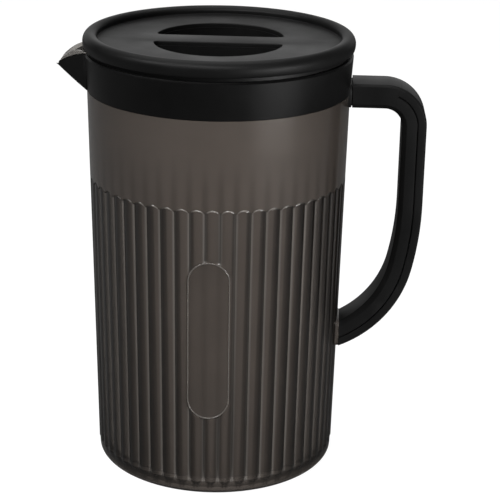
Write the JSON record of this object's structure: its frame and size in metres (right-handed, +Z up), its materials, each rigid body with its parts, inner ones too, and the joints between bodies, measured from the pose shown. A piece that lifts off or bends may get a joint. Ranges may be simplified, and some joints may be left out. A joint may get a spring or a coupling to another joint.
{
  "type": "water pitcher",
  "caption": "Round reeded jug with a beak spout collar, a loop handle and a flat lid that turns a strainer, a closed wall or an open window to the spout.",
  "frame": {"origin": "on the vessel's axis, at table level", "axes": "+Z up, handle toward +X, spout toward -X, oval plate toward -Y"},
  "size_m": [0.1915, 0.14, 0.231],
  "materials": {
    "smoke_plastic": "clear moulded plastic tinted smoky grey-brown, glossy",
    "black_plastic": "satin black moulded plastic",
    "lid_plastic": "satin black moulded plastic, slightly greyer",
    "screw_steel": "stainless steel",
    "seal_silicone": "soft dark grey silicone"
  },
  "bodies": {
    "jug": {"jug_body": "smoke_plastic", "collar": "black_plastic", "handle_grip": "black_plastic", "handle_cover": "black_plastic", "handle_screws": "screw_steel"},
    "seal": {"lid_gasket": "seal_silicone"},
    "lid": {"lid_cap": "lid_plastic", "lid_plug": "lid_plastic"}
  },
  "joints": [
    {"name": "lid_lift", "type": "slide", "parent": "jug", "child": "seal", "axis": [0, 0, 1], "range_m": [0, 0.06]},
    {"name": "lid_turn", "type": "hinge", "parent": "seal", "child": "lid", "pos_m": [0, 0, 0.21], "axis": [0, 0, 1], "continuous": true}
  ]
}
